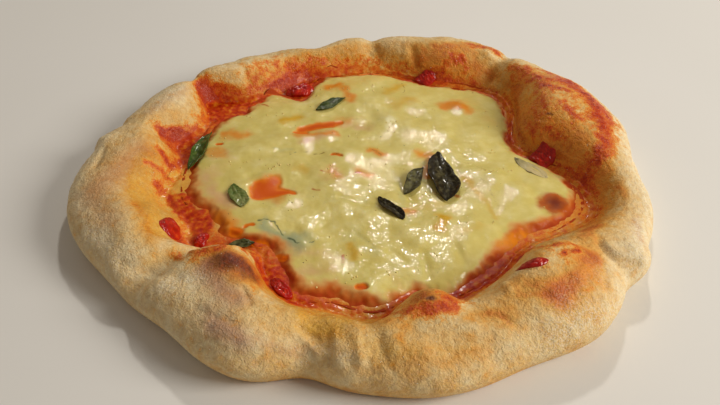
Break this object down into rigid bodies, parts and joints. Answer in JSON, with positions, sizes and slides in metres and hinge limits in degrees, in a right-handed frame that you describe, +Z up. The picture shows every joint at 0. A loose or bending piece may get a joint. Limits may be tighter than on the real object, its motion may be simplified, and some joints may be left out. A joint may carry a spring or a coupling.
{
  "type": "pan pizza",
  "caption": "Round uncut pizza with a puffed, unevenly baked rim, melted pale cheese over tomato sauce, wilted basil leaves and small tomato pieces.",
  "frame": {"origin": "on the flat underside, under the middle of the outline's box", "axes": "+Z up out of the topping, -Y towards the side that has the dark brown spot on the rim's inner edge, +X towards the tall red-streaked puff"},
  "size_m": [0.2987, 0.2741, 0.0353],
  "materials": {
    "crust": "matte baked dough, floury outside, oily and browned inside",
    "tomato_sauce": "wet, oily",
    "cheese": "melted, soft sheen with oil",
    "basil": "wilted, oily",
    "tomato": "wet, cooked"
  },
  "bodies": {
    "root": {"crust": "crust", "tomato_sauce": "tomato_sauce", "cheese": "cheese", "basil_leaf_big": "basil", "basil_leaf_curled": "basil", "basil_leaf_narrow": "basil", "basil_leaf_left": "basil", "basil_leaf_far": "basil", "basil_leaf_front_left": "basil", "basil_leaf_right": "basil", "basil_leaf_sunk": "basil", "tomato_far_left": "tomato", "tomato_far": "tomato", "tomato_right": "tomato", "tomato_front_left": "tomato", "tomato_left": "tomato", "tomato_left_strip": "tomato", "tomato_on_rim": "tomato"}
  },
  "joints": []
}
